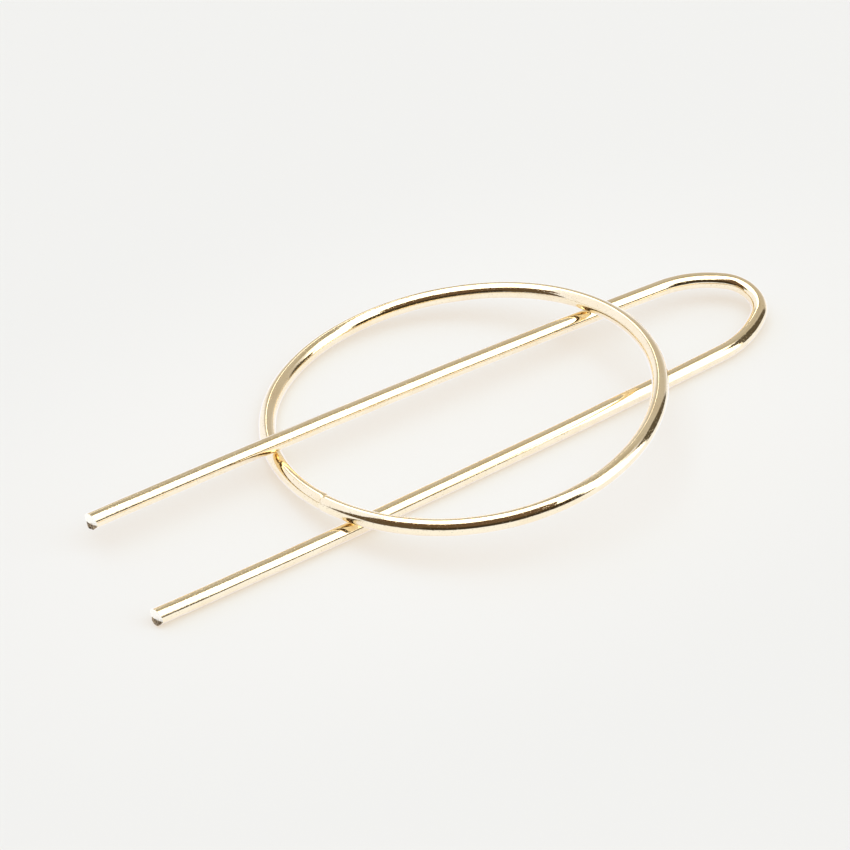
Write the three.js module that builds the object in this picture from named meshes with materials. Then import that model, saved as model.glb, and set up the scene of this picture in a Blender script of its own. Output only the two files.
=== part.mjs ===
// A two-piece wire hair slide: a closed ring of round wire, and a separate two-pronged pin
// of the same wire that is woven through it. Millimetres, +Z up. The slide lies on a table:
// +X runs along the pin to its bend, and the origin is under the middle of the slide.

import * as THREE from 'three';

// Driving dimensions, in millimetres and degrees.
const WIRE_DIAMETER = 2.5;

const RING_OUTER_DIAMETER = 60;
const RING_LOBES = 3; // the ring is bent by hand, so it has a faint three-lobed shape
const RING_LOBE_HEIGHT = 0.34;
const RING_LOBE_ANGLE = 11.1;

const PRONG_SPACING = 19.3; // between the two centrelines, where the prongs stand widest
const PRONG_BOW_RADIUS = 2000; // the prongs aren't quite straight: each is a very long arc
const WIDEST_X = -44.5; // from the middle of the woven stretch, as are the other X values
const BACK_TIP_X = -56.0;
const FRONT_TIP_X = -57.3; // this prong is cut a little longer
const SHOULDER_X = 43.9;
const SHOULDER_RADIUS = 18;
const SHOULDER_TURN = 33.8;

const RING_CENTRE_X = 2.2;
const RING_CENTRE_Y = 0.8;
const CLEARANCE = 0.3; // between the wires where the ring bears on the pin
const FAR_CLEARANCE = 0.42; // the same at the bend end, so that the prongs pass as they widen
const SLANT = 1.046; // the ring crosses the prongs on a slant, so the rise is longer

const PIN_ROLL = 10.34; // the ring under the back prong props the pin up on that side
const PIN_PITCH = 0.28;

// Resolution of the faceted solids.
const WIRE_SIDES = 12;
const RING_STEPS = 96;
const PIN_STEPS = 150;

const WIRE_RADIUS = WIRE_DIAMETER / 2;
const RING_RADIUS = (RING_OUTER_DIAMETER - WIRE_DIAMETER) / 2;
const BOW_CENTRE_Y = PRONG_SPACING / 2 - PRONG_BOW_RADIUS;
const { degToRad } = THREE.MathUtils;

// Half the distance between the prongs at a place along the pin.
function halfSpacing(x) {
  const along = x - WIDEST_X;
  return BOW_CENTRE_Y + Math.sqrt(PRONG_BOW_RADIUS ** 2 - along ** 2);
}

// A stretch of one arc: centre, radius, and the two angles that it runs between.
function arc(centreX, centreY, radius, from, to) {
  const clockwise = to < from;
  return new THREE.ArcCurve(centreX, centreY, radius, from, to, clockwise);
}

// The back half of the pin, from its tip to the middle of the bend, in the pin's own plane:
// the long bow of the prong, a wide shoulder, and then the tight end of the bend.
function backHalf(tipX) {
  const bowAngle = (x) => Math.acos((x - WIDEST_X) / PRONG_BOW_RADIUS);
  const shoulderStart = bowAngle(SHOULDER_X);
  const shoulderEnd = shoulderStart - degToRad(SHOULDER_TURN);
  const shoulderCentreX = SHOULDER_X - SHOULDER_RADIUS * Math.cos(shoulderStart);
  const shoulderCentreY = halfSpacing(SHOULDER_X) - SHOULDER_RADIUS * Math.sin(shoulderStart);
  const endRadius = SHOULDER_RADIUS + shoulderCentreY / Math.sin(shoulderEnd);
  const endCentreX = shoulderCentreX - (shoulderCentreY / Math.tan(shoulderEnd));
  return [
    arc(WIDEST_X, BOW_CENTRE_Y, PRONG_BOW_RADIUS, bowAngle(tipX), shoulderStart),
    arc(shoulderCentreX, shoulderCentreY, SHOULDER_RADIUS, shoulderStart, shoulderEnd),
    arc(endCentreX, 0, endRadius, shoulderEnd, 0),
  ];
}

// The centreline of the whole pin: the back half, then its mirror image in reverse.
class PinCentreline extends THREE.Curve {
  constructor() {
    super();
    this.back = new THREE.CurvePath();
    this.front = new THREE.CurvePath();
    backHalf(BACK_TIP_X).forEach((piece) => this.back.add(piece));
    backHalf(FRONT_TIP_X).forEach((piece) => this.front.add(piece));
    this.backShare = this.back.getLength() / (this.back.getLength() + this.front.getLength());
  }

  getPoint(t, target = new THREE.Vector3()) {
    if (t <= this.backShare) {
      const point = this.back.getPoint(t / this.backShare);
      return target.set(point.x, point.y, 0);
    }
    const point = this.front.getPoint((1 - t) / (1 - this.backShare));
    return target.set(point.x, -point.y, 0);
  }
}

function pinGeometry() {
  const section = new THREE.Shape().absarc(0, 0, WIRE_RADIUS, 0, 2 * Math.PI);
  return new THREE.ExtrudeGeometry(section, {
    steps: PIN_STEPS,
    curveSegments: WIRE_SIDES / 2,
    extrudePath: new PinCentreline(),
  });
}

function ringGeometry() {
  const section = [];
  for (let i = 0; i <= WIRE_SIDES; i += 1) {
    const angle = (2 * Math.PI * (i % WIRE_SIDES)) / WIRE_SIDES;
    const radius = RING_RADIUS + WIRE_RADIUS * Math.cos(angle);
    section.push(new THREE.Vector2(radius, WIRE_RADIUS * Math.sin(angle)));
  }
  const geometry = new THREE.LatheGeometry(section, RING_STEPS);
  geometry.rotateX(Math.PI / 2);
  const place = geometry.attributes.position;
  for (let i = 0; i < place.count; i += 1) {
    const angle = Math.atan2(place.getY(i), place.getX(i));
    const swell = ringSwell(angle);
    place.setX(i, place.getX(i) + swell * Math.cos(angle));
    place.setY(i, place.getY(i) + swell * Math.sin(angle));
  }
  return geometry;
}

// How far the hand-bent ring stands outside its true circle at an angle round it.
function ringSwell(angle) {
  return RING_LOBE_HEIGHT * Math.cos(RING_LOBES * (angle - degToRad(RING_LOBE_ANGLE)));
}

// Where the ring crosses a prong, seen square to the pin: end is -1 at the tips and 1 at the
// bend, side is 1 on the back prong and -1 on the front one. rise is the ring's height there.
function crossing(end, side, rise) {
  let x = RING_CENTRE_X + end * RING_RADIUS;
  for (let i = 0; i < 20; i += 1) {
    const across = side * halfSpacing(x) - RING_CENTRE_Y;
    const angle = Math.atan2(across, x - RING_CENTRE_X);
    const radius = RING_RADIUS + ringSwell(angle);
    x = RING_CENTRE_X + end * Math.sqrt(radius ** 2 - across ** 2);
  }
  return new THREE.Vector3(x, side * halfSpacing(x), rise);
}

// The ring goes under the back prong at the tip end and over both prongs at its other three
// crossings. It bears on the pin at three of the four, and they fix the plane that it lies in.
function placeRing(ring) {
  const rise = (WIRE_DIAMETER + CLEARANCE) * SLANT;
  const farRise = (WIRE_DIAMETER + FAR_CLEARANCE) * SLANT;
  const plane = new THREE.Plane().setFromCoplanarPoints(
    crossing(-1, 1, -rise),
    crossing(-1, -1, rise),
    crossing(1, 1, farRise),
  );
  const down = new THREE.Vector3(0, 0, -1);
  const above = new THREE.Vector3(RING_CENTRE_X, RING_CENTRE_Y, RING_OUTER_DIAMETER);
  new THREE.Ray(above, down).intersectPlane(plane, ring.position);
  ring.quaternion.setFromUnitVectors(down.negate(), plane.normal);
}

function wireMesh(name, geometry) {
  const gold = new THREE.MeshStandardMaterial({
    color: 0xdcb878,
    roughness: 0.12,
    metalness: 1,
  });
  const mesh = new THREE.Mesh(geometry, gold);
  mesh.name = name;
  return mesh;
}

const ring = wireMesh('ring', ringGeometry());
placeRing(ring);

const woven = new THREE.Group();
woven.add(ring, wireMesh('u_pin', pinGeometry()));
woven.rotation.set(degToRad(PIN_ROLL), degToRad(PIN_PITCH), 0);

// Stand the woven pair on the table, with the origin under the middle of it.
const slide = new THREE.Group();
slide.add(woven);
const box = new THREE.Box3().setFromObject(slide, true);
const middle = box.getCenter(new THREE.Vector3());
woven.position.set(-middle.x, -middle.y, -box.min.z);
slide.updateMatrixWorld(true);

export default slide;
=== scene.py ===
# Looks for a two-piece wire hair slide: a closed ring of round wire, and a two-pronged pin of
# the same wire woven through it. Metres, +Z up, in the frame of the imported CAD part.

import math

import bpy
from mathutils import Matrix, Quaternion, Vector, noise


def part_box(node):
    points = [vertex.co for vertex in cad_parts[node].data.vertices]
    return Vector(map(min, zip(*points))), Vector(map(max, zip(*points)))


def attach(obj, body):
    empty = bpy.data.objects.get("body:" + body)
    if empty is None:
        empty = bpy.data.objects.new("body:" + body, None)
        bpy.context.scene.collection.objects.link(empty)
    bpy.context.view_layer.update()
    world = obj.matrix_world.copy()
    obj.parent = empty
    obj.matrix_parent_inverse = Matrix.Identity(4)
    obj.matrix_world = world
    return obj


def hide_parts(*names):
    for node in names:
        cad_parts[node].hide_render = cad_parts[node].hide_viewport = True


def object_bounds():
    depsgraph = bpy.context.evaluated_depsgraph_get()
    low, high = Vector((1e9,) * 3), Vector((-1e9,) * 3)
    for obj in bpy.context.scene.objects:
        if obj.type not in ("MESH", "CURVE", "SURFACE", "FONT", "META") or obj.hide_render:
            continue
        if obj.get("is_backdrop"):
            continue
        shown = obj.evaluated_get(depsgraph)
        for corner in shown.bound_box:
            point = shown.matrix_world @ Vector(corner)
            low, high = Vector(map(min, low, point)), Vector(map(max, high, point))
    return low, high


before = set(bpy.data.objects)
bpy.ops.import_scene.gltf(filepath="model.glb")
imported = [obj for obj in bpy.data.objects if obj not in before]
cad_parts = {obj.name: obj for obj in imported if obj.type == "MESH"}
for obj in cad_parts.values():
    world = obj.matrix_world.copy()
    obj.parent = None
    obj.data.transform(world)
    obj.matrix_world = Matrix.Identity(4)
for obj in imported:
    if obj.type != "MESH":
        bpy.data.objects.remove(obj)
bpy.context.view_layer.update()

MM = 0.001
UP = Vector((0.0, 0.0, 1.0))

# ---------------------------------------------------------------- sizes, in millimetres
WIRE_RADIUS = 1.25
RING_RADIUS = 28.75
RING_LOBES = 3
RING_LOBE_HEIGHT = 0.34
RING_LOBE_ANGLE = math.radians(11.1)
PRONG_SPACING = 19.3
PRONG_BOW_RADIUS = 2000.0
WIDEST_X = -44.5
BACK_TIP_X = -56.0
FRONT_TIP_X = -57.3
SHOULDER_X = 43.9
SHOULDER_RADIUS = 18.0
SHOULDER_TURN = math.radians(33.8)
RING_CENTRE = (2.2, 0.8)
SLANT = 1.046
PLAY = 0.3  # between the wires where the ring bears on the pin
FAR_PLAY = 0.42
RISE = (2 * WIRE_RADIUS + PLAY) * SLANT
FAR_RISE = (2 * WIRE_RADIUS + FAR_PLAY) * SLANT
PIN_ROLL = math.radians(10.34)
PIN_PITCH = math.radians(0.28)
BOW_CENTRE_Y = PRONG_SPACING / 2 - PRONG_BOW_RADIUS

# Details that the solids leave out.
WIRE_SIDES = 32
RING_STEP = 0.3
PIN_STEP = 0.3
CROSSING_ROUNDS = 20
WAVER = 0.035  # how far the hand-bent wire wanders from its curve
WAVER_LENGTH = 9.0
RING_WAVER_SEED = 3.0
PIN_WAVER_SEED = 11.0

JOINT_ANGLE = math.radians(190.0)  # the ring's two ends meet here
JOINT_GROOVE = 0.10
JOINT_GROOVE_WIDTH = 0.16
JOINT_STEP = 0.10  # how far out of line each end is
JOINT_STEP_LENGTH = 2.2
JOINT_STEP_RISE = 0.4  # the part of that step that is upward

# The cut ends. Reach is along the wire, and the section runs from -1 to 1 both ways.
TIP_CUT = 1.9  # the sheared end takes up this much of the wire
TIP_FLAT = -0.03  # the furthest reach, just short of the solid's flat end
CUT_REACH = -0.34  # the clean facet's, at the middle of the section
CUT_SIDEWAYS = 0.30  # and how that grows with each way across
CUT_UPWARD = 0.10
LIP_SIDEWAYS = -0.379  # the way from the middle of the section to the torn lip
LIP_UPWARD = -0.925
LIP_START = 0.44  # and how far along it the lip begins
LIP_BLEND = 0.06
TEAR_COARSE = 2.6
TEAR_FINE = 6.1
TEAR_EDGE = 0.04  # how ragged the lip's upper edge is
TEAR_RELIEF = 0.5  # and its face
RIM_ROUND = 0.015
RIM_INSET = 0.985
CAP_EDGE = 0.94
CAP_RINGS = 20
PLATED_RINGS = 2  # the rings of the cap that are still plated wire
BACK_TIP_SEED = 1.7
FRONT_TIP_SEED = 5.2

# Material slots of the pin.
TORN_SLOT = 1
CLEAN_SLOT = 2


# ---------------------------------------------------------------- the two centrelines
def half_spacing(x):
    return BOW_CENTRE_Y + math.sqrt(PRONG_BOW_RADIUS ** 2 - (x - WIDEST_X) ** 2)


def half_pin_arcs(tip_x):
    """The back half of the pin as arcs: centre, radius, and the angles each runs between."""
    start = math.acos((tip_x - WIDEST_X) / PRONG_BOW_RADIUS)
    shoulder = math.acos((SHOULDER_X - WIDEST_X) / PRONG_BOW_RADIUS)
    end = shoulder - SHOULDER_TURN
    x = SHOULDER_X - SHOULDER_RADIUS * math.cos(shoulder)
    y = half_spacing(SHOULDER_X) - SHOULDER_RADIUS * math.sin(shoulder)
    end_radius = SHOULDER_RADIUS + y / math.sin(end)
    end_x = x - y / math.tan(end)
    return [
        ((WIDEST_X, BOW_CENTRE_Y), PRONG_BOW_RADIUS, start, shoulder),
        ((x, y), SHOULDER_RADIUS, shoulder, end),
        ((end_x, 0.0), end_radius, end, 0.0),
    ]


def half_pin_line(tip_x, step):
    """Points and tangents from a tip to the middle of the bend, in the pin's own plane."""
    line = []
    for (x, y), radius, start, end in half_pin_arcs(tip_x):
        count = max(2, round(radius * (start - end) / step))
        for i in range(count):
            a = start + (end - start) * i / count
            point = Vector((x + radius * math.cos(a), y + radius * math.sin(a), 0.0))
            line.append((point, Vector((math.sin(a), -math.cos(a), 0.0))))
    return line


def pin_line(step):
    """Points and tangents from the back tip round the bend to the front tip."""
    back = half_pin_line(BACK_TIP_X, step)
    front = half_pin_line(FRONT_TIP_X, step)
    (end_x, _), end_radius, _, _ = half_pin_arcs(BACK_TIP_X)[2]
    middle = (Vector((end_x + end_radius, 0.0, 0.0)), Vector((0.0, -1.0, 0.0)))
    mirrored = []
    for point, tangent in reversed(front):
        mirrored.append((Vector((point.x, -point.y, 0.0)), Vector((-tangent.x, tangent.y, 0.0))))
    return back + [middle] + mirrored


def ring_swell(angle):
    return RING_LOBE_HEIGHT * math.cos(RING_LOBES * (angle - RING_LOBE_ANGLE))


def crossing(end, side, rise):
    """Where the ring crosses a prong, seen square to the pin. Each round comes closer to it."""
    x = RING_CENTRE[0] + end * RING_RADIUS
    for _ in range(CROSSING_ROUNDS):
        across = side * half_spacing(x) - RING_CENTRE[1]
        radius = RING_RADIUS + ring_swell(math.atan2(across, x - RING_CENTRE[0]))
        x = RING_CENTRE[0] + end * math.sqrt(radius ** 2 - across ** 2)
    return Vector((x, side * half_spacing(x), rise))


def ring_line(step):
    """Points and tangents once round the ring from its butt joint, and the ring's normal."""
    a, b, c = crossing(-1, 1, -RISE), crossing(-1, -1, RISE), crossing(1, 1, FAR_RISE)
    normal = (c - b).cross(a - b).normalized()
    to_centre = Vector(RING_CENTRE) - a.xy
    height = a.z - normal.xy.dot(to_centre) / normal.z
    centre = Vector((RING_CENTRE[0], RING_CENTRE[1], height))
    tilt = UP.rotation_difference(normal)
    count = round(2 * math.pi * RING_RADIUS / step)
    line = []
    for i in range(count + 1):
        angle = JOINT_ANGLE + 2 * math.pi * i / count
        radius = RING_RADIUS + ring_swell(angle)
        growth = -RING_LOBES * RING_LOBE_HEIGHT * math.sin(RING_LOBES * (angle - RING_LOBE_ANGLE))
        out = Vector((math.cos(angle), math.sin(angle), 0.0))
        along = Vector((-math.sin(angle), math.cos(angle), 0.0))
        tangent = (growth * out + radius * along).normalized()
        line.append((centre + tilt @ (radius * out), tilt @ tangent))
    return line, normal


# ---------------------------------------------------------------- sweeping wire along them
def waver(at, seed):
    """A slow wander of the centreline, sideways and up, for wire bent by hand."""
    here = at / WAVER_LENGTH
    side = noise.noise(Vector((here, seed, 0.3)))
    up = noise.noise(Vector((here, seed + 7.1, 4.7)))
    return WAVER * side, WAVER * up


class Tube:
    """Collects the sections of a swept wire: each is a ring of vertices round its centre."""

    def __init__(self):
        self.points = []
        self.wire = []  # where each point is in the wire: two ways across, and along
        self.faces = []
        self.cut_faces = {}

    def section(self, centre, side, up, radius, at):
        for j in range(WIRE_SIDES):
            a = 2 * math.pi * j / WIRE_SIDES
            out = math.cos(a) * side + math.sin(a) * up
            self.points.append(centre + radius * out)
            self.wire.append((WIRE_RADIUS * math.cos(a), WIRE_RADIUS * math.sin(a), at))

    def join(self, first, second):
        """Quads between two sections, given by the index of each one's first vertex."""
        for j in range(WIRE_SIDES):
            k = (j + 1) % WIRE_SIDES
            self.faces.append((first + j, first + k, second + k, second + j))

    def mesh(self, name, place):
        data = bpy.data.meshes.new(name)
        data.from_pydata([(place @ p) * MM for p in self.points], [], self.faces)
        for polygon in data.polygons:
            polygon.use_smooth = True
            polygon.material_index = self.cut_faces.get(polygon.index, 0)
        data.attributes.new("wire", "FLOAT_VECTOR", "POINT")
        data.attributes["wire"].data.foreach_set("vector", [v for w in self.wire for v in w])
        data.validate()
        data.update()
        piece = bpy.data.objects.new(name, data)
        bpy.context.scene.collection.objects.link(piece)
        return piece


def sweep(tube, line, plane_normal, seed, shape):
    """Sweeps the section along a line. shape(at, length) gives radius and two offsets."""
    at = 0.0
    lengths = [0.0]
    for (a, _), (b, _) in zip(line, line[1:]):
        at += (b - a).length
        lengths.append(at)
    starts = []
    for (centre, tangent), at in zip(line, lengths):
        side = tangent.cross(plane_normal).normalized()
        radius, shift_side, shift_up = shape(at, lengths[-1])
        sway_side, sway_up = waver(at, seed)
        centre = centre + side * (sway_side + shift_side) + plane_normal * (sway_up + shift_up)
        starts.append(len(tube.points))
        tube.section(centre, side, plane_normal, radius, at)
    for first, second in zip(starts, starts[1:]):
        tube.join(first, second)
    return starts


def ring_shape(at, length):
    """The butt joint: a fine groove, and the two ends a little out of line with each other."""
    from_joint = min(at, length - at)
    groove = JOINT_GROOVE * math.exp(-((from_joint / JOINT_GROOVE_WIDTH) ** 2))
    step = JOINT_STEP * math.exp(-from_joint / JOINT_STEP_LENGTH) * (1 if at < length / 2 else -1)
    return WIRE_RADIUS - groove, step, JOINT_STEP_RISE * step


def make_ring(place):
    tube = Tube()
    line, normal = ring_line(RING_STEP)
    starts = sweep(tube, line, normal, RING_WAVER_SEED, ring_shape)
    for j in range(WIRE_SIDES):
        first, last = tube.points[starts[0] + j], tube.points[starts[-1] + j]
        middle = (first + last) / 2
        tube.points[starts[0] + j] = middle
        tube.points[starts[-1] + j] = middle
    return tube.mesh("ring_wire", place)


def soft_min(a, b, blend):
    h = max(blend - abs(a - b), 0.0) / blend
    return min(a, b) - h * h * blend / 4


def torn(y, z, seed):
    """The roughness of torn metal at a point of the section."""
    coarse = noise.noise(Vector((TEAR_COARSE * y, TEAR_COARSE * z, seed)))
    fine = noise.noise(Vector((TEAR_FINE * y, TEAR_FINE * z, seed + 3.0)))
    return coarse + 0.5 * fine


def sheared(y, z, seed):
    """How far the cut end reaches at a point of the section, and whether it is torn there.

    The cutters left one clean facet, not quite square to the wire, and a torn lip below it.
    """
    clean = CUT_REACH + CUT_SIDEWAYS * y + CUT_UPWARD * z
    tear = torn(y, z, seed)
    into_lip = LIP_SIDEWAYS * y + LIP_UPWARD * z - LIP_START + TEAR_EDGE * tear
    lip = max(into_lip, 0.0) * (1.0 + TEAR_RELIEF * tear)
    return soft_min(clean + lip, TIP_FLAT, LIP_BLEND), into_lip > 0


def cap_rings():
    """The rings of a cap, from its rim inwards: share of the radius, and distance set back."""
    rim = [(1.0, 2.2 * RIM_ROUND), (1.0, RIM_ROUND), (RIM_INSET, RIM_ROUND / 3)]
    return rim + [(CAP_EDGE * (1 - i / CAP_RINGS), 0.0) for i in range(CAP_RINGS - 1)]


def cap(tube, start, outward, facing, seed):
    """Closes a tube with a sheared end. facing is 1 or -1, for the order of the faces' corners."""
    centre = sum(tube.points[start:start + WIRE_SIDES], Vector()) / WIRE_SIDES
    spokes = [p - centre for p in tube.points[start:start + WIRE_SIDES]]
    previous = start
    for ring_index, (scale, back) in enumerate(cap_rings()):
        first = len(tube.points)
        torn_points = []
        for j, spoke in enumerate(spokes):
            y, z = spoke.y * scale / WIRE_RADIUS, spoke.z * scale / WIRE_RADIUS
            reach, is_torn = sheared(y, z, seed)
            torn_points.append(is_torn)
            tube.points.append(centre + spoke * scale + outward * (TIP_CUT + reach - back))
            across, up, at = tube.wire[start + j]
            tube.wire.append((across * scale, up * scale, at))
        for j in range(WIRE_SIDES):
            k = (j + 1) % WIRE_SIDES
            if ring_index >= PLATED_RINGS:
                is_torn = torn_points[j] or torn_points[k]
                tube.cut_faces[len(tube.faces)] = TORN_SLOT if is_torn else CLEAN_SLOT
            quad = (previous + j, previous + k, first + k, first + j)
            tube.faces.append(quad if facing > 0 else quad[::-1])
        previous = first
    middle = len(tube.points)
    reach, is_torn = sheared(0.0, 0.0, seed)
    tube.points.append(centre + outward * (TIP_CUT + reach))
    tube.wire.append((0.0, 0.0, tube.wire[start][2]))
    for j in range(WIRE_SIDES):
        triangle = (previous + j, previous + (j + 1) % WIRE_SIDES, middle)
        tube.cut_faces[len(tube.faces)] = TORN_SLOT if is_torn else CLEAN_SLOT
        tube.faces.append(triangle if facing > 0 else triangle[::-1])


def pin_shape(at, length):
    return WIRE_RADIUS, 0.0, 0.0


def trimmed(line, length):
    """The line without its first stretch."""
    walked = 0.0
    for i, ((a, _), (b, _)) in enumerate(zip(line, line[1:])):
        walked += (b - a).length
        if walked >= length:
            start = a.lerp(b, 1 - (walked - length) / (b - a).length)
            return [(start, line[i][1])] + line[i + 1:]
    return line


def make_pin(place):
    tube = Tube()
    line = trimmed(pin_line(PIN_STEP), TIP_CUT)
    line = trimmed(line[::-1], TIP_CUT)[::-1]
    starts = sweep(tube, line, UP, PIN_WAVER_SEED, pin_shape)
    cap(tube, starts[0], -line[0][1], -1, BACK_TIP_SEED)
    cap(tube, starts[-1], line[-1][1], 1, FRONT_TIP_SEED)
    return tube.mesh("pin_wire", place)


def woven_place():
    """Turns the pin's own frame (in millimetres) into the row's frame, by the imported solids."""
    turn = Matrix.Rotation(PIN_ROLL, 4, "X") @ Matrix.Rotation(PIN_PITCH, 4, "Y")
    turned = [turn @ point for point, _ in pin_line(PIN_STEP)]
    low = Vector([min(p[i] for p in turned) for i in range(3)])
    high = Vector([max(p[i] for p in turned) for i in range(3)])
    box_low, box_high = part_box("u_pin")
    middle = (box_low + box_high) / 2 / MM
    shift = middle - (low + high) / 2
    end_x = box_high.x / MM - WIRE_RADIUS - high.x
    return Matrix.Translation(Vector((end_x, shift.y, shift.z))) @ turn


place = woven_place()
ring = make_ring(place)
pin = make_pin(place)

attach(ring, "ring")
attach(pin, "pin")
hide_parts("ring")
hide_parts("u_pin")


# ---------------------------------------------------------------- materials
class Nodes:
    """A node tree with short calls for the few kinds of node that are used here."""

    def __init__(self, tree):
        self.tree = tree
        self.tree.nodes.clear()

    def add(self, kind, **settings):
        node = self.tree.nodes.new(kind)
        for key, value in settings.items():
            setattr(node, key, value)
        return node

    def wire(self, source, target):
        self.tree.links.new(source, target)

    def put(self, value, socket):
        if isinstance(value, bpy.types.NodeSocket):
            self.wire(value, socket)
        else:
            socket.default_value = value

    def math(self, operation, *values):
        node = self.add("ShaderNodeMath", operation=operation)
        for value, socket in zip(values, node.inputs):
            self.put(value, socket)
        return node.outputs[0]

    def vector(self, operation, *values, out=0):
        node = self.add("ShaderNodeVectorMath", operation=operation)
        for value, socket in zip(values, node.inputs):
            self.put(value, socket)
        return node.outputs[out]

    def ramp(self, value, low, high, to_low=0.0, to_high=1.0):
        node = self.add("ShaderNodeMapRange", interpolation_type="SMOOTHSTEP")
        for v, socket in zip((value, low, high, to_low, to_high), node.inputs):
            self.put(v, socket)
        return node.outputs[0]

    def mix(self, factor, a, b):
        node = self.add("ShaderNodeMix", data_type="RGBA")
        self.put(factor, node.inputs["Factor"])
        self.put(a, node.inputs[6])
        self.put(b, node.inputs[7])
        return node.outputs[2]

    def noise(self, vector, scale, detail=2.0, roughness=0.5):
        node = self.add("ShaderNodeTexNoise")
        self.put(vector, node.inputs["Vector"])
        self.put(scale, node.inputs["Scale"])
        self.put(detail, node.inputs["Detail"])
        self.put(roughness, node.inputs["Roughness"])
        return node.outputs[0]

    def metal(self, tone, rough, height):
        """The whole surface of a metal piece. height is its relief, in millimetres."""
        shader = self.add("ShaderNodeBsdfPrincipled")
        shader.inputs["Metallic"].default_value = 1.0
        self.wire(tone, shader.inputs["Base Color"])
        self.wire(rough, shader.inputs["Roughness"])
        bump = self.add("ShaderNodeBump")
        bump.inputs["Strength"].default_value = 1.0
        bump.inputs["Distance"].default_value = MM
        self.wire(height, bump.inputs["Height"])
        self.wire(bump.outputs[0], shader.inputs["Normal"])
        self.wire(shader.outputs[0], self.add("ShaderNodeOutputMaterial").inputs[0])


def new_material(name):
    material = bpy.data.materials.new(name)
    material.use_nodes = True
    return material, Nodes(material.node_tree)


GOLD = (0.93, 0.77, 0.48, 1.0)
DEEP_GOLD = (0.91, 0.73, 0.43, 1.0)
PIT_BROWN = (0.40, 0.29, 0.16, 1.0)
# The torn lip's tone is set near black, far darker than the clean facet.
TORN_DULL = (0.05, 0.028, 0.012, 1.0)
TORN_BRIGHT = (0.52, 0.38, 0.20, 1.0)
CUT_DULL = (0.94, 0.82, 0.56, 1.0)
CUT_BRIGHT = (0.97, 0.90, 0.70, 1.0)

# Multiples of the wire's own coordinates (two ways across, and along) at which noise is read, so
# that a small third one draws it out along the wire.
DRAWN_STRETCH = (1.0, 1.0, 0.035)
SCRATCH_STRETCH = (1.0, 1.0, 0.09)
CUTTER_STRETCH = (1.0, 2.0, 1.0)

# Where in their noise the clouds, scratches, pits, cutter marks and grain begin and are full.
CLOUD_TONE = (0.35, 0.70)
CLOUD_GLOSS = (0.45, 0.75)
SCRATCH_GLOSS = (0.45, 0.75)
PIT_SPREAD = (0.70, 0.78)
CUTTER_TONE = (0.40, 0.62)
GRAIN_GLOSS = (0.3, 0.7)

# Roughness: of clean and of scratched plating, what clouds and pits add to it, and of the torn
# and the clean cuts, with what their grain adds.
POLISHED = 0.03
SCRATCHED = 0.09
CLOUDED = 0.03
PITTED = 0.2
TORN_ROUGH = 0.30
CUT_ROUGH = 0.14
GRAIN_ROUGH = 0.2

# Relief, in millimetres.
DRAWN_RELIEF = 0.0013
PEEL_RELIEF = 0.007
PIT_DEPTH = 0.004
TORN_RELIEF = 0.10
CUT_RELIEF = 0.02


def plated_wire(name, seed):
    """Polished pale-gold plating over drawn wire. Textures are in the wire's own millimetres."""
    material, n = new_material(name)
    wire = n.add("ShaderNodeAttribute", attribute_name="wire").outputs["Vector"]
    moved = n.vector("ADD", wire, (seed, 0.0, 0.0))
    drawn = n.noise(n.vector("MULTIPLY", moved, DRAWN_STRETCH), scale=5.5, detail=4.0, roughness=0.6)
    scratches = n.noise(n.vector("MULTIPLY", moved, SCRATCH_STRETCH), scale=16.0)
    peel = n.noise(moved, scale=1.6)
    cloud = n.noise(moved, scale=0.28, detail=3.0, roughness=0.55)
    pits = n.ramp(n.noise(moved, scale=6.5, detail=0.0), *PIT_SPREAD)

    tone = n.mix(n.ramp(cloud, *CLOUD_TONE), GOLD, DEEP_GOLD)
    tone = n.mix(n.math("MULTIPLY", pits, 0.5), tone, PIT_BROWN)
    rough = n.ramp(scratches, *SCRATCH_GLOSS, to_low=POLISHED, to_high=SCRATCHED)
    rough = n.math("ADD", rough, n.ramp(cloud, *CLOUD_GLOSS, to_high=CLOUDED))
    rough = n.math("ADD", rough, n.math("MULTIPLY", pits, PITTED))
    lines = n.math("MULTIPLY", drawn, DRAWN_RELIEF)
    height = n.math("ADD", lines, n.math("MULTIPLY", peel, PEEL_RELIEF))
    height = n.math("SUBTRACT", height, n.math("MULTIPLY", pits, PIT_DEPTH))
    n.metal(tone, rough, height)
    return material


def cut_metal(name, dull, bright, rough, relief):
    """A sheared end: bare metal with cutter marks, from dull to bright."""
    material, n = new_material(name)
    wire = n.add("ShaderNodeAttribute", attribute_name="wire").outputs["Vector"]
    marks = n.noise(n.vector("MULTIPLY", wire, CUTTER_STRETCH), scale=2.4, detail=4.0, roughness=0.70)
    grain = n.noise(wire, scale=9.0, detail=3.0, roughness=0.6)
    tone = n.mix(n.ramp(marks, *CUTTER_TONE), dull, bright)
    gloss = n.ramp(grain, *GRAIN_GLOSS, to_low=rough, to_high=rough + GRAIN_ROUGH)
    coarse = n.math("MULTIPLY", marks, relief)
    height = n.math("ADD", coarse, n.math("MULTIPLY", grain, 0.2 * relief))
    n.metal(tone, gloss, height)
    return material


ring.data.materials.append(plated_wire("ring_plating", seed=0.0))
pin.data.materials.append(plated_wire("pin_plating", seed=37.0))
pin.data.materials.append(cut_metal("pin_torn_cut", TORN_DULL, TORN_BRIGHT, TORN_ROUGH, TORN_RELIEF))
pin.data.materials.append(cut_metal("pin_clean_cut", CUT_DULL, CUT_BRIGHT, CUT_ROUGH, CUT_RELIEF))


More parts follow.
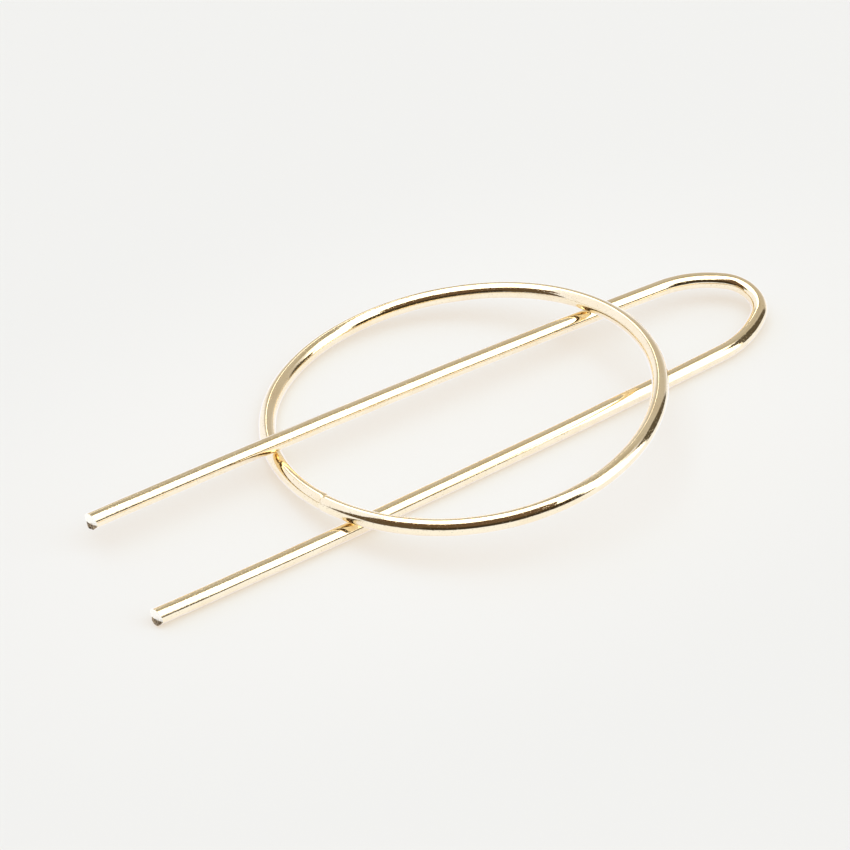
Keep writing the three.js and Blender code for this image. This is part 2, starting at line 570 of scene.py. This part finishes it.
# ---------------------------------------------------------------- the studio's room
CREAM_WALL = (1.08, 1.17, 1.52, 1.0)
TAN_WALL = (0.60, 0.585, 0.60, 1.0)
TAN_WALL_LOW = (0.85, 0.88, 1.05, 1.0)
TAN_WALL_HIGH = (0.50, 0.48, 0.44, 1.0)
WINDOW = (3.0, 3.0, 3.1, 1.0)
SILL = (0.13, 0.10, 0.07, 1.0)
DARK_LOW = (0.050, 0.038, 0.024, 1.0)
DARK_HIGH = (0.13, 0.105, 0.070, 1.0)
BACKDROP = (0.90, 0.90, 0.89, 1.0)

# Stretches of the room, all in degrees. Azimuth is clockwise from +Y, seen from above.
TAN_STRETCH = dict(azimuth=50, half_width=41, side_soft=6, low=-20, low_soft=1, high=69, high_soft=1)
TAN_CORNER = dict(azimuth=60, half_width=50, side_soft=8, low=-20, low_soft=1, high=42, high_soft=6)
WINDOW_PANE = dict(azimuth=133, half_width=22, side_soft=3, low=-8, low_soft=4, high=64, high_soft=6)
WINDOW_TOP = dict(azimuth=103, half_width=11, side_soft=3, low=54, low_soft=4, high=72, high_soft=3)
WINDOW_SILL = dict(azimuth=161, half_width=13, side_soft=3, low=-8, low_soft=4, high=13, high_soft=3)
DARK_SIDE = dict(azimuth=-144.5, half_width=59.5, side_soft=4, low=4, low_soft=4, high=63, high_soft=6)

# Heights between which one tone turns into the next, in degrees.
TAN_FADE = (-5.0, 25.0)
TAN_HIGH_FADE = (44.0, 56.0)
DARK_FADE = (22.0, 48.0)


def make_world():
    """A room round the table: cream walls, a tan one, a window, and a dark side by the camera."""
    world = bpy.data.worlds.new("studio")
    bpy.context.scene.world = world
    world.use_nodes = True
    n = Nodes(world.node_tree)
    ray = n.add("ShaderNodeTexCoord").outputs["Generated"]
    height = n.add("ShaderNodeSeparateXYZ")
    n.wire(ray, height.inputs[0])
    elevation = n.math("MULTIPLY", n.math("ARCSINE", height.outputs["Z"]), 180 / math.pi)
    flat = n.vector("NORMALIZE", n.vector("MULTIPLY", ray, (1.0, 1.0, 0.0)))

    def sector(azimuth, half_width, soft):
        """1 within a span of compass directions, at any height."""
        a = math.radians(azimuth)
        facing = n.vector("DOT_PRODUCT", flat, (math.sin(a), math.cos(a), 0.0), out=1)
        near = math.cos(math.radians(half_width - soft))
        far = math.cos(math.radians(half_width + soft))
        return n.ramp(facing, far, near)

    def patch(azimuth, half_width, side_soft, low, low_soft, high, high_soft):
        """1 within a span of compass directions and of heights."""
        above = n.ramp(elevation, low - low_soft, low + low_soft)
        below = n.ramp(elevation, high - high_soft, high + high_soft, to_low=1.0, to_high=0.0)
        tall = n.math("MULTIPLY", above, below)
        return n.math("MULTIPLY", sector(azimuth, half_width, side_soft), tall)

    tan = n.mix(n.ramp(elevation, *TAN_FADE), TAN_WALL_LOW, TAN_WALL)
    tan = n.mix(n.ramp(elevation, *TAN_HIGH_FADE), tan, TAN_WALL_HIGH)
    dark = n.mix(n.ramp(elevation, *DARK_FADE), DARK_LOW, DARK_HIGH)
    light = n.mix(patch(**TAN_STRETCH), CREAM_WALL, tan)
    light = n.mix(patch(**TAN_CORNER), light, tan)
    light = n.mix(patch(**WINDOW_PANE), light, WINDOW)
    light = n.mix(patch(**WINDOW_TOP), light, WINDOW)
    light = n.mix(patch(**WINDOW_SILL), light, SILL)
    light = n.mix(patch(**DARK_SIDE), light, dark)

    path = n.add("ShaderNodeLightPath")
    light = n.mix(path.outputs["Is Camera Ray"], light, BACKDROP)
    background = n.add("ShaderNodeBackground")
    n.wire(light, background.inputs["Color"])
    n.wire(background.outputs[0], n.add("ShaderNodeOutputWorld").inputs[0])


# ---------------------------------------------------------------- its softbox and flags
OVERHEAD = 2.0  # metres above the table
# Outlines of the softbox, in shares of that height: the edge by the tan wall, and the rest.
SOFTBOX_EDGE = [
    (0.92, 1.93), (0.53, 1.25), (0.405, 0.85), (0.36, 0.50), (0.37, 0.25), (0.405, 0.05),
    (0.42, -0.02),
]
SOFTBOX_REST = [
    (0.50, -0.25), (0.75, -0.45), (0.90, -1.20), (-0.90, -0.90), (-0.90, -0.10), (-0.60, 0.40),
    (-0.20, 0.62), (0.0, 0.75), (0.30, 1.30),
]
EDGING_WIDTH = 0.10
EDGING_HEIGHT = 0.99 * OVERHEAD
EDGING_GREY = (0.44, 0.43, 0.41, 1.0)

# The flags, in millimetres.
FLAG_HEIGHT = 220
FLAG_OVER = [
    (-125, 95), (-103, 50), (-91, 14), (-72, -12), (-50, -27), (-25, -36), (-5, -40), (15, -48),
    (27, -62), (35, -85), (38, -110), (33, -150), (28, -290), (-120, -290), (-260, -250),
    (-270, 95),
]
FLAG_OVER_BROWN = (0.15, 0.095, 0.060, 1.0)
FLAG_LEFT_BROWN = (0.12, 0.09, 0.06, 1.0)
PROP_BROWN = (0.115, 0.10, 0.08, 1.0)


def stage_sheet(name, corners, material):
    """A softbox or a flag that lights the wire and that the camera doesn't see."""
    data = bpy.data.meshes.new(name)
    data.from_pydata(corners, [], [tuple(range(len(corners)))])
    data.materials.append(material)
    sheet = bpy.data.objects.new(name, data)
    bpy.context.scene.collection.objects.link(sheet)
    sheet.visible_camera = False
    sheet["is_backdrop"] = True
    return sheet


def glow(name, colour):
    material, n = new_material(name)
    shader = n.add("ShaderNodeEmission")
    shader.inputs["Color"].default_value = colour
    n.wire(shader.outputs[0], n.add("ShaderNodeOutputMaterial").inputs[0])
    return material


def only_in_metal(sheet):
    """Leaves a flag's reflection in the wire, and no shade on the floor."""
    sheet.visible_diffuse = False
    sheet.visible_shadow = False


def make_softbox():
    """One big softbox overhead, with a darker edging along the side by the tan wall."""
    def across(height, outline):
        return [(x * OVERHEAD, y * OVERHEAD, height) for x, y in outline]

    edging = SOFTBOX_EDGE + [(x + EDGING_WIDTH, y) for x, y in reversed(SOFTBOX_EDGE)]
    stage_sheet("softbox", across(OVERHEAD, SOFTBOX_EDGE + SOFTBOX_REST), glow("softbox", WINDOW))
    stage_sheet("softbox_rim", across(EDGING_HEIGHT, edging), glow("softbox_rim", EDGING_GREY))


def upright_flag(name, centre, along, half_size, soft, colour):
    """An upright sheet with soft edges. Sizes in millimetres."""
    along = Vector(along).normalized()
    width, height = half_size[0] + soft, half_size[1] + soft
    corners = [(-width, -height, 0), (width, -height, 0), (width, height, 0), (-width, height, 0)]
    material, n = new_material(name)
    place = n.add("ShaderNodeSeparateXYZ")
    n.wire(n.add("ShaderNodeTexCoord").outputs["Object"], place.inputs[0])

    def inside(value, half):
        size = n.math("ABSOLUTE", value)
        return n.ramp(size, (half - soft) * MM, (half + soft) * MM, to_low=1.0, to_high=0.0)

    wide = inside(place.outputs["X"], half_size[0])
    cover = n.math("MULTIPLY", wide, inside(place.outputs["Y"], half_size[1]))
    emission = n.add("ShaderNodeEmission")
    emission.inputs["Color"].default_value = colour
    mix = n.add("ShaderNodeMixShader")
    n.wire(cover, mix.inputs[0])
    n.wire(n.add("ShaderNodeBsdfTransparent").outputs[0], mix.inputs[1])
    n.wire(emission.outputs[0], mix.inputs[2])
    n.wire(mix.outputs[0], n.add("ShaderNodeOutputMaterial").inputs[0])
    sheet = stage_sheet(name, [Vector(c) * MM for c in corners], material)
    turn = Matrix((along, UP, along.cross(UP))).transposed()
    sheet.matrix_world = Matrix.Translation(Vector(centre) * MM) @ turn.to_4x4()
    only_in_metal(sheet)


def make_flags():
    """The dark shapes that the wire mirrors: one overhead, one at the left, one at the right."""
    corners = [Vector((x, y, FLAG_HEIGHT)) * MM for x, y in FLAG_OVER]
    over = stage_sheet("flag_over", corners, glow("flag_over", FLAG_OVER_BROWN))
    only_in_metal(over)
    upright_flag(
        "flag_left", centre=(-115.5, -16.5, 54), along=(39, 87, 0), half_size=(48, 38), soft=4,
        colour=FLAG_LEFT_BROWN,
    )
    upright_flag(
        "prop_right", centre=(112, -31, 43), along=(-8, -54, 0), half_size=(27, 45), soft=5,
        colour=PROP_BROWN,
    )


# ---------------------------------------------------------------- its floor
FLOOR_SIZE = 4.0
FLOOR_GAP = 0.00001
# The floor glows evenly as a backdrop and also takes light. A painted pool of light makes its glow a
# touch brighter near the wires than away from them.
FLOOR_PAINTED_POOL = (0.693, 0.545, 0.405, 1.0)
FLOOR_AWAY = (0.649, 0.506, 0.370, 1.0)
POOL_LENGTH = 0.075
POOL_WIDTH = 0.045
POOL_FADE = (0.3, 1.5)  # in shares of that length and width
FLOOR_DIFFUSE = (0.14, 0.22, 0.27, 1.0)  # takes the wires' soft shadows
FLOOR_IN_METAL = (0.84, 0.80, 1.00, 1.0)  # what the wire mirrors of it


def make_floor():
    size = FLOOR_SIZE
    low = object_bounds()[0].z - FLOOR_GAP
    corners = [(-size, -size, low), (size, -size, low), (size, size, low), (-size, size, low)]
    data = bpy.data.meshes.new("floor")
    data.from_pydata(corners, [], [(0, 1, 2, 3)])
    floor = bpy.data.objects.new("floor", data)
    bpy.context.scene.collection.objects.link(floor)
    floor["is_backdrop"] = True
    material, n = new_material("floor_paper")
    camera_ray = n.add("ShaderNodeLightPath").outputs["Is Camera Ray"]
    place = n.add("ShaderNodeTexCoord").outputs["Object"]
    scaled = n.vector("MULTIPLY", place, (1 / POOL_LENGTH, 1 / POOL_WIDTH, 0.0))
    spread = n.vector("LENGTH", scaled, out=1)
    # Painted pool of light: the floor's glow is brighter near the wires than away from them.
    floor_glow_with_painted_pool = n.mix(n.ramp(spread, *POOL_FADE), FLOOR_PAINTED_POOL, FLOOR_AWAY)
    diffuse = n.add("ShaderNodeBsdfDiffuse")
    diffuse.inputs["Color"].default_value = FLOOR_DIFFUSE
    emission = n.add("ShaderNodeEmission")
    n.wire(n.mix(camera_ray, FLOOR_IN_METAL, floor_glow_with_painted_pool), emission.inputs["Color"])
    both = n.add("ShaderNodeAddShader")
    n.wire(diffuse.outputs[0], both.inputs[0])
    n.wire(emission.outputs[0], both.inputs[1])
    n.wire(both.outputs[0], n.add("ShaderNodeOutputMaterial").inputs[0])
    data.materials.append(material)


make_world()
make_softbox()
make_flags()
make_floor()


# ---------------------------------------------------------------- the camera
CAMERA_PLACE = (-252.7, -346.2, 344.3)
CAMERA_AIM = (-1.36, 4.98, 0.0)
CAMERA_ROLL = math.radians(0.32)
CAMERA_LENS = 159.88
CAMERA_SENSOR = 36.0


def make_camera():
    data = bpy.data.cameras.new("camera")
    data.sensor_width = CAMERA_SENSOR
    data.lens = CAMERA_LENS
    data.clip_start = 0.01
    data.clip_end = 20.0
    camera = bpy.data.objects.new("camera", data)
    bpy.context.scene.collection.objects.link(camera)
    camera.location = Vector(CAMERA_PLACE) * MM
    back = camera.location - Vector(CAMERA_AIM) * MM
    camera.rotation_mode = "QUATERNION"
    camera.rotation_quaternion = back.to_track_quat("Z", "Y") @ Quaternion(UP, CAMERA_ROLL)
    bpy.context.scene.camera = camera


make_camera()

view = bpy.context.scene.view_settings
view.view_transform = "Standard"
view.look = "None"
